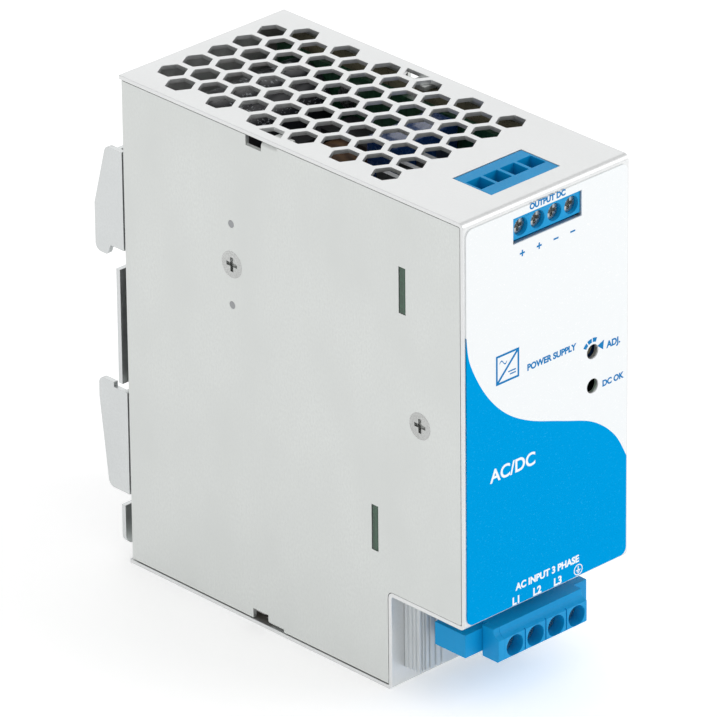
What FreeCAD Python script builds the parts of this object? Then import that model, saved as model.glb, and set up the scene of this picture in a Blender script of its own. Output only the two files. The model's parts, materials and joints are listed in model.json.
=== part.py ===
"""A 24 V power supply for a 35 mm DIN rail, as a parametric FreeCAD document.

Frame: +X to the right, +Y to the rear (the rail side), +Z up; the origin is the middle of the overall box at its foot.
Most parts are placed by three figures: x from the middle, depth behind the front sheet's outer face, and z.
"""
import FreeCAD, Part
import math
import os
import re

import Sketcher

doc = FreeCAD.newDocument("din_rail_power_supply")

# ---------------------------------------------------------------- driving dimensions, mm
SIZES = {
    # case
    "case_w": 50.0, "case_d": 108.0, "case_z": 121.0, "sheet_t": 1.0, "bend_r": 1.5, "seam": 0.1, "foot_gap": 0.4,
    "step_d": 22.9, "step_z": 23.3, "clip_d": 9.8, "label_t": 0.25, "label_edge": 0.6, "label_r": 1.8,
    # honeycomb vents, and the lugs that carry the cover
    "hex_af": 6.0, "hex_pitch": 7.5, "hex_first": 29.85, "lug_d": 57.4, "lug_w": 5.0, "lug_len": 5.5,
    "lug_r": 1.2, "relief_w": 4.9, "relief_z": 2.4,
    # screws, pegs and board slots of the left panel
    "heat_screw_d": 72.4, "heat_screw_z": 86.9, "peg_gap": 9.85, "peg_r": 0.85, "ear_screw_d": 13.6,
    "ear_screw_z": 68.4, "head_r": 3.2, "head_t": 0.95, "shank_r": 1.5, "slot_w": 2.1, "slot_len": 11.1,
    "out_board_d": 18.0, "out_tab_z": 99.0, "in_board_d": 27.05, "in_tab_z": 38.5,
    # openings of the cover
    "win_w": 20.7, "win_low": 111.4, "win_top": 117.5, "roof_win_d": 12.3, "roof_win_len": 12.0,
    "knob_x": 13.8, "knob_z": 77.6, "lamp_z": 69.3, "peep_r": 1.75,
    # boards and their film
    "board_x": 19.0, "board_t": 1.6, "film_t": 0.4,
    # terminals
    "out_pitch": 5.08, "out_z": 114.7, "in_pitch": 6.35, "in_z": 14.2, "fit": 0.05,
    # rail clip
    "plate_d": 109.9, "plate_t": 1.2, "clip_w": 48.6, "clip_top": 101.8, "clip_foot": 3.4, "rail_top": 77.6,
    "flange_gap": 0.4, "waist_in": 4.0, "hook_top_d": 113.8, "seat_d": 112.8, "nose_z": 2.6, "clip_r": 1.8,
    "latch_foot": 16.8, "latch_foot_d": 115.1,
    "rail_z": 35.0, "latch_travel": 3.0, "boss_x": 14.0, "boss_high": 88.0, "boss_low": 27.0, "boss_r": 4.5,
    "spring_r": 1.6, "spring_low": 18.0, "spring_high": 34.0,
}

sizes = doc.addObject("Spreadsheet::Sheet", "Sizes")
for row, (alias, number) in enumerate(SIZES.items(), 1):
    sizes.set(f"A{row}", alias)
    sizes.set(f"B{row}", str(number))
    sizes.setAlias(f"B{row}", alias)
doc.recompute()

# y of the front sheet's outer face, which centres the overall box on the origin
FRONT_Y = "(label_t - case_d - clip_d) / 2"
NODES = {}


# ---------------------------------------------------------------- helpers
def in_sheet(text):
    """An expression with each alias written as the spreadsheet's cell."""
    return re.sub(r"[a-z_][a-z_0-9]*", lambda m: "Sizes." + m.group() if m.group() in SIZES else m.group(), str(text))


def number_of(text):
    return float(sizes.evalExpression(in_sheet(text)))


def bind(thing, **rules):
    for path, text in rules.items():
        thing.setExpression(path.replace("__", "."), in_sheet(text))


def deep(text):
    """y of a point at that depth behind the front face."""
    return f"({FRONT_Y} + {text})"


def keep(name, thing):
    """Names a finished sub-part, so that it is exported as that node."""
    thing.Label = name
    NODES[name] = thing
    return thing


def block(x, depth, z):
    """A Part::Box between pairs of expressions: x, depth behind the front face, z."""
    made = doc.addObject("Part::Box", "Block")
    bind(made, Length=f"({x[1]}) - ({x[0]})", Width=f"({depth[1]}) - ({depth[0]})", Height=f"({z[1]}) - ({z[0]})",
         Placement__Base__x=x[0], Placement__Base__y=deep(depth[0]), Placement__Base__z=z[0])
    return made


TURN = {"X": FreeCAD.Rotation(FreeCAD.Vector(0, 1, 0), 90), "Y": FreeCAD.Rotation(FreeCAD.Vector(1, 0, 0), -90),
        "Z": FreeCAD.Rotation()}


def rod(axis, x, depth, z, radius, tip_radius=None):
    """A cylinder, or a cone where tip_radius is given. The coordinate along its axis is a (low, high) pair."""
    spans = {"X": x, "Y": depth, "Z": z}
    low, high = spans[axis]
    at = {"X": x, "Y": depth, "Z": z, axis: low}
    made = doc.addObject("Part::Cone" if tip_radius is not None else "Part::Cylinder", "Rod")
    made.Placement = FreeCAD.Placement(FreeCAD.Vector(), TURN[axis])
    bind(made, Height=f"({high}) - ({low})", Placement__Base__x=at["X"], Placement__Base__y=deep(at["Y"]),
         Placement__Base__z=at["Z"])
    if tip_radius is None:
        bind(made, Radius=radius)
    else:
        bind(made, Radius1=radius, Radius2=tip_radius)
    return made


def fuse(*parts):
    made = doc.addObject("Part::MultiFuse", "Fused")
    made.Shapes = list(parts)
    made.Refine = True
    return made


def cut(base, *tools):
    made = doc.addObject("Part::Cut", "Cut")
    made.Base = base
    made.Tool = tools[0] if len(tools) == 1 else fuse(*tools)
    return made


def group(*parts):
    """Identical separate solids that share one node."""
    made = doc.addObject("Part::Compound", "Group")
    made.Links = list(parts)
    return made


def body(name):
    return keep(name, doc.addObject("PartDesign::Body", name))


def sketch(owner, role, lift="0"):
    """An empty sketch parallel to an origin plane of its body; XY and YZ lift along +Z and +X, XZ along -Y."""
    drawn = owner.newObject("Sketcher::SketchObject", "Outline")
    drawn.AttachmentSupport = (next(f for f in owner.Origin.OriginFeatures if f.Role == role + "_Plane"), "")
    drawn.MapMode = "FlatFace"
    bind(drawn, AttachmentOffset__Base__z=lift)
    return drawn


def pin_point(drawn, edge, point, u, v):
    """Ties a sketch point to the origin by two expressions."""
    for kind, text in (("DistanceX", u), ("DistanceY", v)):
        at = drawn.addConstraint(Sketcher.Constraint(kind, -1, 1, edge, point, number_of(text)))
        drawn.setExpression(f"Constraints[{at}]", in_sheet(text))


def polygon(drawn, corners):
    """A closed outline of straight edges; each corner is a pair of expressions."""
    first, count = drawn.GeometryCount, len(corners)
    spots = [FreeCAD.Vector(number_of(u), number_of(v), 0) for u, v in corners]
    for k in range(count):
        drawn.addGeometry(Part.LineSegment(spots[k], spots[(k + 1) % count]))
    for k, (u, v) in enumerate(corners):
        drawn.addConstraint(Sketcher.Constraint("Coincident", first + (k - 1) % count, 2, first + k, 1))
        pin_point(drawn, first + k, 1, u, v)


def rectangle(drawn, u, v):
    polygon(drawn, [(u[0], v[0]), (u[1], v[0]), (u[1], v[1]), (u[0], v[1])])


def circle(drawn, u, v, radius):
    spot = FreeCAD.Vector(number_of(u), number_of(v), 0)
    edge = drawn.addGeometry(Part.Circle(spot, FreeCAD.Vector(0, 0, 1), number_of(radius)))
    pin_point(drawn, edge, 3, u, v)
    at = drawn.addConstraint(Sketcher.Constraint("Radius", edge, number_of(radius)))
    drawn.setExpression(f"Constraints[{at}]", in_sheet(radius))


def pad(owner, drawn, length, both_ways=False):
    made = owner.newObject("PartDesign::Pad", "Pad")
    made.Profile = drawn
    bind(made, Length=length)
    made.SideType = "Symmetric" if both_ways else "One side"
    doc.recompute()
    return made


def pocket(owner, drawn, length, both_ways=False, reverse=False):
    """Cuts a sketch into the body and stops if it removed nothing."""
    before = owner.Shape.Volume
    made = owner.newObject("PartDesign::Pocket", "Pocket")
    made.Profile = drawn
    bind(made, Length=length)
    made.SideType = "Symmetric" if both_ways else "One side"
    made.Reversed = reverse
    doc.recompute()
    if not owner.Shape.Volume < before - 1e-6:
        raise ValueError(f"a pocket of {owner.Label} cuts nothing")
    return made


def round_edges(owner, radius, axis, corners):
    """Rounds the edges that run along axis (0, 1 or 2) through the given pairs of the other two coordinates."""
    others = [k for k in range(3) if k != axis]
    spots = [(number_of(u), number_of(v)) for u, v in corners]
    names = []
    for k, edge in enumerate(owner.Shape.Edges, 1):
        middle = edge.CenterOfMass
        along = len(edge.Vertexes) == 2 and abs((edge.Vertexes[1].Point - edge.Vertexes[0].Point)[axis])
        if along and abs(along - edge.Length) < 1e-6:
            if any(abs(middle[others[0]] - u) < 1e-4 and abs(middle[others[1]] - v) < 1e-4 for u, v in spots):
                names.append(f"Edge{k}")
    if not names:
        raise ValueError(f"no edge of {owner.Label} to round")
    base = owner.Tip
    made = owner.newObject("PartDesign::Fillet", "Round")
    made.Base = (base, names)
    bind(made, Radius=radius)
    doc.recompute()
    return made


def soften(base, radius):
    """Rounds every edge of a primitive by the same radius."""
    doc.recompute()
    made = doc.addObject("Part::Fillet", "Softened")
    made.Base = base
    made.Edges = [(k, radius, radius) for k in range(1, len(base.Shape.Edges) + 1)]
    return made


# ---------------------------------------------------------------- case: cover, chassis, label, screws
def hexagon(drawn, x, depth):
    """A honeycomb cell with two of its flats facing left and right."""
    half, tip, y = "hex_af / 2", "hex_af / sqrt(3)", deep(depth)
    polygon(drawn, [(x, f"{y} + {tip}"), (f"{x} + {half}", f"{y} + {tip} / 2"), (f"{x} + {half}", f"{y} - {tip} / 2"),
                    (x, f"{y} - {tip}"), (f"{x} - {half}", f"{y} - {tip} / 2"), (f"{x} - {half}", f"{y} + {tip} / 2")])


def spread(owner, feature, drawn, columns, rows):
    """Repeats a cell along X and along Y at the honeycomb's spacing."""
    made = owner.newObject("PartDesign::LinearPattern", "Cells")
    made.Originals = [feature]
    made.Direction = (drawn, ["H_Axis"])
    made.Direction2 = (drawn, ["V_Axis"])
    made.Mode = "Spacing"
    made.Mode2 = "Spacing"
    made.Occurrences = columns
    made.Occurrences2 = rows + 1  # the second direction makes one row fewer than its count
    bind(made, Offset="hex_pitch", Offset2="hex_pitch * sqrt(3)")
    owner.Tip = made
    doc.recompute()


def make_cover():
    """One bent strip: roof, front, ledge over the wiring notch, notch wall and floor."""
    cover = body("cover")
    front, inside, back = deep("0"), deep("sheet_t"), deep("case_d")
    wall, wall_back = deep("step_d"), deep("step_d + sheet_t")
    strip = sketch(cover, "YZ")
    polygon(strip, [(front, "step_z"), (front, "case_z"), (back, "case_z"), (back, "case_z - sheet_t"),
                    (inside, "case_z - sheet_t"), (inside, "step_z + sheet_t"), (wall_back, "step_z + sheet_t"),
                    (wall_back, "sheet_t"), (back, "sheet_t"), (back, "0"), (wall, "0"), (wall, "step_z")])
    pad(cover, strip, "case_w", both_ways=True)
    round_edges(cover, "bend_r", 0, [(front, "step_z"), (front, "case_z"), (wall_back, "step_z + sheet_t"),
                                     (wall, "0")])
    round_edges(cover, "bend_r - sheet_t", 0, [(inside, "case_z - sheet_t"), (inside, "step_z + sheet_t"),
                                               (wall, "step_z"), (wall_back, "sheet_t")])
    # ear behind the front, through which the left panel's front screw holds the cover
    ear = sketch(cover, "YZ", "sheet_t + seam - case_w / 2")
    rectangle(ear, (deep("sheet_t / 2"), deep("ear_screw_d + 5")), ("ear_screw_z - 6", "ear_screw_z + 6"))
    pad(cover, ear, "sheet_t * 1.5")
    ear_hole = sketch(cover, "YZ", "sheet_t * 3 - case_w / 2")
    circle(ear_hole, deep("ear_screw_d"), "ear_screw_z", "shank_r + fit")
    pocket(cover, ear_hole, "sheet_t * 2")
    # windows of the output terminal, peep holes of the trimmer and the lamp, slot of the notch wall
    roof = sketch(cover, "XY", "case_z")
    rectangle(roof, ("-win_w / 2", "win_w / 2"), (deep("roof_win_d - roof_win_len / 2"),
                                                  deep("roof_win_d + roof_win_len / 2")))
    pocket(cover, roof, "sheet_t * 2")
    face = sketch(cover, "XZ", f"-{FRONT_Y}")
    rectangle(face, ("-win_w / 2", "win_w / 2"), ("win_low", "win_top"))
    circle(face, "knob_x", "knob_z", "peep_r")
    circle(face, "knob_x", "lamp_z", "peep_r")
    pocket(cover, face, "sheet_t * 2")
    slot = sketch(cover, "XZ", f"-{wall}")
    rectangle(slot, ("-in_pitch * 2 - 0.5", "in_pitch * 2 + 0.5"), ("step_z - 7.2", "step_z - 2.1"))
    pocket(cover, slot, "sheet_t * 2")
    # roof and floor vents: rows of six and five cells in turn, and a half cell at each side by the lugs
    for shift, columns, row in ((-2.5, 6, 0), (-2, 5, 1)):
        cell = sketch(cover, "XY", "case_z")
        hexagon(cell, f"hex_pitch * {shift}", f"hex_first + hex_pitch * {row} * sqrt(3) / 2")
        spread(cover, pocket(cover, cell, "case_z + sheet_t"), cell, columns, 6)
    halves = sketch(cover, "XY", "case_z")
    row = deep("hex_first + hex_pitch * 5 * sqrt(3) / 2")
    for side in (-1, 1):
        cut_x, flat_x = f"{side} * hex_pitch * 3", f"{side} * (hex_pitch * 3 - hex_af / 2)"
        polygon(halves, [(cut_x, f"{row} + hex_af / sqrt(3)"), (flat_x, f"{row} + hex_af / sqrt(3) / 2"),
                         (flat_x, f"{row} - hex_af / sqrt(3) / 2"), (cut_x, f"{row} - hex_af / sqrt(3)")])
    pocket(cover, halves, "case_z + sheet_t")


def make_lug(side, over):
    """A strip of the side panel bent inwards, under the roof (over = 1) or over the floor (over = -1)."""
    lug = doc.addObject("PartDesign::Body", "Lug")
    reach = "case_z - sheet_t - seam" if over > 0 else "sheet_t + foot_gap"
    outer, root = f"{side} * case_w / 2", f"{reach} - {over} * (lug_r + 1.5)"
    inner, under = f"{side} * (case_w / 2 - sheet_t)", f"{reach} - {over} * sheet_t"
    tip = f"{side} * (case_w / 2 - lug_len)"
    outline = sketch(lug, "XZ", f"-{deep('lug_d + lug_w / 2')}")
    polygon(outline, [(outer, root), (outer, reach), (tip, reach), (tip, under), (inner, under), (inner, root)])
    pad(lug, outline, "lug_w", both_ways=True)
    round_edges(lug, "lug_r", 1, [(outer, reach)])
    round_edges(lug, "lug_r - sheet_t", 1, [(inner, under)])
    return lug


def make_chassis(seats):
    """Left panel, back and right panel bent from one sheet; seats are the countersinks of the left panel."""
    shell = doc.addObject("PartDesign::Body", "Shell")
    low, high = "sheet_t + foot_gap", "case_z - sheet_t - seam"
    half, inner, front, back = "case_w / 2", "(case_w / 2 - sheet_t)", deep("sheet_t + seam"), deep("case_d")
    plan = sketch(shell, "XY", low)
    polygon(plan, [(f"-{half}", front), (f"-{inner}", front), (f"-{inner}", f"{back} - sheet_t"),
                   (inner, f"{back} - sheet_t"), (inner, front), (half, front), (half, back), (f"-{half}", back)])
    pad(shell, plan, f"{high} - ({low})")
    round_edges(shell, "bend_r", 2, [(half, back), (f"-{half}", back)])
    round_edges(shell, "bend_r - sheet_t", 2, [(inner, f"{back} - sheet_t"), (f"-{inner}", f"{back} - sheet_t")])
    notches = sketch(shell, "YZ")
    rectangle(notches, (deep("0"), deep("step_d + sheet_t + seam")), ("0", "step_z + sheet_t + seam"))
    reliefs = (deep("lug_d"), deep("lug_d + lug_w + relief_w"))
    rectangle(notches, reliefs, (f"{high} - relief_z", f"{high} + seam"))
    rectangle(notches, reliefs, (f"{low} - seam", f"{low} + relief_z"))
    pocket(shell, notches, "case_w * 2", both_ways=True)
    round_edges(shell, "bend_r", 0, [(deep("step_d + sheet_t + seam"), "step_z + sheet_t + seam")])
    round_edges(shell, "bend_r / 3", 0, [(front, high), (front, "step_z + sheet_t + seam")])
    slots = sketch(shell, "YZ", "sheet_t * 2 - case_w / 2")
    for board, z in (("out_board_d", "out_tab_z"), ("in_board_d", "in_tab_z")):
        rectangle(slots, (deep(f"{board} + (board_t - slot_w) / 2"), deep(f"{board} + (board_t + slot_w) / 2")),
                  (f"{z} - slot_len / 2", f"{z} + slot_len / 2"))
    for z in ("heat_screw_z - peg_gap", "heat_screw_z + peg_gap"):
        circle(slots, deep("heat_screw_d"), z, "peg_r + fit")
    pocket(shell, slots, "sheet_t * 3")
    lugs = [make_lug(side, over) for side in (-1, 1) for over in (-1, 1)]
    keep("chassis", cut(fuse(shell, *lugs), seats))


def cross_recess(axis, x, depth, z, span, deepness):
    """The cross in a screw head: two bars, for a head that faces left (X) or rearwards (Y)."""
    bars = []
    for wide, tall in ((span, "0.45"), ("0.45", span)):
        if axis == "X":
            bars.append(block((x, f"{x} + {deepness}"), (f"{depth} - {wide}", f"{depth} + {wide}"),
                              (f"{z} - {tall}", f"{z} + {tall}")))
        else:
            bars.append(block((f"{x} - {wide}", f"{x} + {wide}"), (depth, f"{depth} + {deepness}"),
                              (f"{z} - {tall}", f"{z} + {tall}")))
    return bars


def make_housing_screws():
    """Two countersunk screws in the left panel; returns the solids that cut their seats."""
    face = "-case_w / 2"
    places = (("heat_screw_d", "heat_screw_z"), ("ear_screw_d", "ear_screw_z"))
    screws = []
    for depth, z in places:
        head = rod("X", (face, f"{face} + head_t"), depth, z, "head_r", "shank_r")
        shank = rod("X", (face, f"{face} + 5.5"), depth, z, "shank_r")
        screws.append(cut(fuse(head, shank), *cross_recess("X", face, depth, z, "1.7", "0.9")))
    keep("housing_screws", group(*screws))
    seats = []
    for depth, z in places:
        seats.append(rod("X", (face, f"{face} + head_t"), depth, z, "head_r + fit", "shank_r + fit"))
        seats.append(rod("X", (face, f"{face} + 3"), depth, z, "shank_r + fit"))
    return fuse(*seats)


def make_label():
    """The printed overlay of the front, with rounded corners and openings a little wider than the sheet's."""
    label = body("front_label")
    left, right = "label_edge - case_w / 2", "case_w / 2 - label_edge"
    low, high = "step_z + bend_r - 0.4", "case_z - bend_r - 0.2"
    outline = sketch(label, "XZ", f"-{FRONT_Y}")
    rectangle(outline, (left, right), (low, high))
    rectangle(outline, ("-win_w / 2", "win_w / 2"), ("win_low", "win_top"))
    circle(outline, "knob_x", "knob_z", "peep_r")
    circle(outline, "knob_x", "lamp_z", "peep_r")
    pad(label, outline, "label_t")
    round_edges(label, "label_r", 1, [(left, low), (left, high), (right, low), (right, high)])


# ---------------------------------------------------------------- terminals
def along(pitch, count=4):
    """x of each pole of a terminal that is centred on the case, left to right."""
    return [f"({pitch} * {k - (count - 1) / 2})" for k in range(count)]


def box_at(x, half, depth, z):
    return block((f"{x} - {half}", f"{x} + {half}"), depth, z)


def make_clamps(name, pitch, z, head, shank, walls, cage_half, cage_z, tongue_half):
    """Screw and sliding cage of every pole.

    head is the screw head's (front depth, thickness, radius), shank its (end depth, radius), walls the cage's
    (front wall, rear wall) as depths at rest, each with its thickness.
    """
    (front_wall, front_t), (rear_wall, rear_t) = walls
    for k, x in enumerate(along(pitch), 1):
        cap = rod("Y", x, (head[0], f"{head[0]} + {head[1]}"), z, head[2])
        stem = rod("Y", x, (f"{head[0]} + {head[1]} / 2", shank[0]), z, shank[1])
        slot = cross_recess("Y", x, head[0], z, f"{head[2]} * 0.72", f"{head[1]} * 0.55")
        keep(f"{name}_screw_{k}", cut(fuse(cap, stem), *slot))
        loop = box_at(x, cage_half, (front_wall, f"{rear_wall} + {rear_t}"), cage_z)
        space = box_at(x, tongue_half, (f"{front_wall} + {front_t}", rear_wall),
                       (f"{cage_z[0]} - 1", f"{cage_z[1]} + 1"))
        thread = rod("Y", x, (f"{front_wall} - 1", f"{front_wall} + {front_t} + 0.5"), z, f"{shank[1]} + fit")
        keep(f"{name}_cage_{k}", cut(loop, space, thread))


def make_output_terminal():
    """Four poles, 5.08 mm apart: screws from the front, wires from above, pins rearwards into their board."""
    poles = along("out_pitch")
    half = "win_w / 2 - 0.15"
    pins = []
    for x in poles:
        tongue = box_at(x, "1.2", ("9.2", "10"), ("out_z - 4.1", "out_z + 2.3"))
        run = box_at(x, "0.6", ("9.2", "out_board_d + board_t + 1.2"), ("out_z - 4.1", "out_z - 3.3"))
        pins.append(fuse(tongue, run))
    keep("output_pins", group(*pins))
    blank = fuse(block((f"-({half})", half), ("1.7", "out_board_d"), ("out_z - 5.7", "case_z - sheet_t - seam")),
                 block((f"-({half})", half), ("0.2", "3"), ("win_low + 0.7", "win_top - 0.15")),
                 block((f"-({half})", half), ("roof_win_d - roof_win_len / 2 + 0.15", "out_board_d"),
                       ("out_z", "case_z - 0.1")))
    tools = []
    for x in poles:
        tools.append(rod("Y", x, ("0", "3.1"), "out_z", "2.05"))
        tools.append(rod("Y", x, ("3", "4.1"), "out_z", "1.45 + fit"))
        tools.append(box_at(x, "2.2", ("4", "16.4"), ("out_z - 2.6", "out_z + 2.8")))
        tools.append(box_at(x, "2.1", ("10.05", "14.75"), ("out_z", "case_z + 1")))
    keep("output_terminal_body", cut(blank, *tools, NODES["output_pins"]))
    make_clamps("output", "out_pitch", "out_z", ("1.3", "1.7", "1.9"), ("9.05", "1.45"),
                (("7.9", "1.2"), ("15", "1.2")), "2.1", ("out_z - 2.3", "out_z + 2.5"), "1.75")


def make_input_terminal():
    """Four poles, 6.35 mm apart: screws from the front, wires from below, pins rearwards through the notch wall."""
    poles = along("in_pitch")
    pins = []
    for x in poles:
        tongue = box_at(x, "1.5", ("10.9", "11.7"), ("in_z - 1.6", "in_z + 4.2"))
        run = box_at(x, "0.8", ("10.9", "in_board_d + board_t + 1.4"), ("in_z + 3.4", "in_z + 4.2"))
        pins.append(fuse(tongue, run))
    keep("input_pins", group(*pins))
    front = doc.addObject("PartDesign::Body", "PoleRow")
    plate = body("input_end_plate")
    for owner, reach, lift in ((front, 18, "0"), (plate, 5.3, "-in_pitch * 2 - 0.9")):
        side = sketch(owner, "YZ", lift)
        polygon(side, [(deep(depth), f"in_z + {z}") for depth, z in
                       ((0.2, -2.3), (0.6, -2.7), (reach, -2.7), (reach, 5), (1.9, 5), (1.7, 3.7), (1.2, 3.2),
                        (0.2, 2.7))])
        pad(owner, side, "in_pitch * 4" if owner is front else "1.8", both_ways=True)
    wings = block(("-in_pitch * 2 - 6.9", "in_pitch * 2 + 5.1"), ("5.4", "14.9"), ("in_z - 1.5", "in_z + 4.1"))
    tools = []
    for x in poles:
        tools.append(rod("Y", x, ("0", "5.5"), "in_z", "2.5"))
        tools.append(rod("Y", x, ("5", "6.5"), "in_z", "1.7 + fit"))
        tools.append(box_at(x, "2.6", ("6.3", "17.2"), ("in_z - 2.1", "in_z + 2.8")))
        tools.append(box_at(x, "2.15", ("11.72", "15.95"), ("in_z - 3", "in_z")))
    for k in (-1, 0, 1):
        tools.append(box_at(f"(in_pitch * {k})", "0.15", ("0", "0.75"), ("in_z - 2.4", "in_z + 3.5")))
    keep("input_terminal_body", cut(fuse(front, wings), *tools, NODES["input_pins"]))
    make_clamps("input", "in_pitch", "in_z", ("3.2", "2.2", "2.3"), ("10.75", "1.7"),
                (("9.5", "1.3"), ("15.8", "1.2")), "2.5", ("in_z - 1.9", "in_z + 2.6"), "1.9")


def make_shroud():
    """Ribbed insulating block between the input terminal and the notch wall, with a neck round the pins."""
    left, right = "3.8 - case_w / 2", "case_w / 2 - 5.6"
    foot, top = "4.6", "step_z - 1.3"
    blank = fuse(block((left, right), ("18.05", "step_d - 0.05"), (foot, top)),
                 block(("-in_pitch * 2", "in_pitch * 2"), ("step_d - 1", "in_board_d"), ("step_z - 7", "step_z - 2.3")))
    tools = []
    for x in (f"({left} + {step})" for step in (0.55, 1.45, 2.85, 4.6, 6.4)):
        tools.append(block((x, f"{x} + 0.55"), ("18", "18.6"), (f"{foot} - 1", f"{top} + 1")))
    for depth in (18.9, 20.1, 21.4):
        tools.append(block((f"{left} - 1", f"{left} + 0.4"), (f"{depth}", f"{depth} + 0.5"),
                           (f"{foot} - 1", f"{top} + 1")))
        tools.append(block((f"{right} - 0.4", f"{right} + 1"), (f"{depth}", f"{depth} + 0.5"),
                           (f"{foot} - 1", f"{top} + 1")))
    keep("terminal_shroud", cut(blank, *tools, NODES["input_pins"]))


# ---------------------------------------------------------------- rail clip
def make_bracket():
    """Plate with two hooked side flanges, on four bosses that hold it off the back."""
    blank = doc.addObject("PartDesign::Body", "ClipPlate")
    half, waist, tail, flange_d = "clip_w / 2", "(clip_w / 2 - waist_in)", "case_d + clip_d", "case_d + flange_gap"
    zone_low, zone_high = "latch_foot - latch_travel - fit * 6", "rail_top - rail_z + 1.5"
    outline = sketch(blank, "XZ", f"-{deep('plate_d')}")
    right_edge = [(half, "clip_foot"), (half, zone_low), (waist, zone_low), (waist, zone_high), (half, zone_high),
                  (half, "rail_top - 5.1"), (waist, "rail_top - 5.1"), (waist, "rail_top"), (half, "rail_top"),
                  (half, "clip_top")]
    left_edge = [(f"-{u}", v) for u, v in reversed(right_edge)]
    polygon(outline, right_edge + left_edge + [("-8", "clip_foot"), ("-8", "11.5"), ("8", "11.5"), ("8", "clip_foot")])
    rectangle(outline, ("-spring_r - 0.7", "spring_r + 0.7"), ("spring_low", "spring_high + 0.6"))
    plate = pad(blank, outline, "plate_t")
    plate.Reversed = True
    doc.recompute()
    hook = [(flange_d, "clip_top"), ("hook_top_d", "clip_top"), (tail, "rail_top + 9"), (tail, "rail_top - nose_z"),
            ("seat_d + 1", "rail_top - nose_z"), ("seat_d", "rail_top"), (flange_d, "rail_top")]
    for edge in (f"-{half}", f"{half} - plate_t"):
        flange = sketch(blank, "YZ", edge)
        polygon(flange, [(deep(depth), z) for depth, z in hook])
        pad(blank, flange, "plate_t")
    round_edges(blank, "clip_r", 0, [(deep("hook_top_d"), "clip_top"), (deep(tail), "rail_top - nose_z")])
    round_edges(blank, "clip_r / 2", 0, [(deep("seat_d + 1"), "rail_top - nose_z")])
    round_edges(blank, "2.5", 1, [(f"{sign}{half}", "clip_foot") for sign in ("", "-")])
    places = [(f"{side} * boss_x", z) for side in (-1, 1) for z in ("boss_low", "boss_high")]
    bosses = [rod("Y", x, ("case_d", "plate_d + plate_t"), z, "boss_r") for x, z in places]
    face = "plate_d + plate_t"
    screws = []
    for x, z in places:
        head = rod("Y", x, (f"{face} - 1.5", face), z, "shank_r", "shank_r + 1.5")
        shank = rod("Y", x, ("case_d - 3.4", face), z, "shank_r")
        screws.append(cut(fuse(head, shank), *cross_recess("Y", x, f"{face} - 0.9", z, "1.5", "1")))
    keep("din_bracket_screws", group(*screws))
    seats = []
    for x, z in places:
        seats.append(rod("Y", x, (f"{face} - 1.5", face), z, "shank_r + fit", "shank_r + 1.5 + fit"))
        seats.append(rod("Y", x, ("case_d - 5", face), z, "shank_r + fit"))
    keep("din_bracket", cut(fuse(blank, *bosses), *seats))
    return [rod("Y", x, ("case_d - 2", "case_d + 1"), z, "shank_r + fit") for x, z in places]


def make_latch():
    """The spring-loaded slide under the rail: a web between back and bracket, and two side flanges with noses."""
    blank = doc.addObject("PartDesign::Body", "LatchBlank")
    seat, thick, web_d = "rail_top - rail_z - 0.2", "plate_t", "plate_d - 0.1 - plate_t"
    half, foot, tail, flange_d = "clip_w / 2", "5", "case_d + clip_d", "case_d + flange_gap"
    outline = sketch(blank, "XZ", f"-{deep(web_d)}")
    polygon(outline, [(half, "18.2"), (half, seat), (f"-{half}", seat), (f"-{half}", "18.2"), ("-7", "18.2"),
                      ("-7", foot), ("7", foot), ("7", "18.2")])
    rectangle(outline, ("-spring_r - 0.7", "spring_r + 0.7"), ("spring_low - 1", "spring_high"))
    rectangle(outline, ("-3", "3"), ("7", "9"))
    for side in (-1, 1):
        rectangle(outline, (f"{side} * boss_x - boss_r - 0.2", f"{side} * boss_x + boss_r + 0.2"),
                  ("boss_low - boss_r - 0.3", "boss_low + boss_r + latch_travel + 0.3"))
    web = pad(blank, outline, thick)
    web.Reversed = True
    doc.recompute()
    side_view = [(flange_d, "latch_foot"), ("latch_foot_d", "latch_foot"), (tail, f"{seat} - 4"),
                 (tail, f"{seat} + 1.2"), ("seat_d", f"{seat} + 1.2"), ("seat_d", seat), (flange_d, seat)]
    for edge in (f"-{half}", f"{half} - {thick}"):
        flange = sketch(blank, "YZ", edge)
        polygon(flange, [(deep(depth), z) for depth, z in side_view])
        pad(blank, flange, thick)
    round_edges(blank, "clip_r", 0, [(deep("latch_foot_d"), "latch_foot"), (deep(tail), f"{seat} + 1.2")])
    blank.Label = "din_latch"
    NODES["din_latch"] = blank


def make_spring():
    """Compression spring between the bracket's window (below) and the latch's window (above)."""
    wire = 0.28
    path = doc.addObject("Part::Helix", "SpringPath")
    bind(path, Radius="spring_r", Height=f"spring_high - spring_low - {2 * wire + 0.1}", Pitch="2",
         Placement__Base__y=deep("plate_d + 0.1"), Placement__Base__z=f"spring_low + {wire + 0.05}")
    section = doc.addObject("Part::Circle", "SpringWire")
    section.Radius = wire
    section.Placement = FreeCAD.Placement(FreeCAD.Vector(), TURN["Y"])
    bind(section, Placement__Base__x="spring_r", Placement__Base__y=deep("plate_d + 0.1"),
         Placement__Base__z=f"spring_low + {wire + 0.05}")
    coil = doc.addObject("Part::Sweep", "Spring")
    coil.Sections = [section]
    coil.Spine = (path, ["Edge1"])
    coil.Solid = True
    coil.Frenet = True
    keep("latch_spring", coil)


# ---------------------------------------------------------------- boards
BOARD_SCREWS = (("38", "111"), ("80", "110.8"), ("36", "9"), ("99", "9"))


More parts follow.
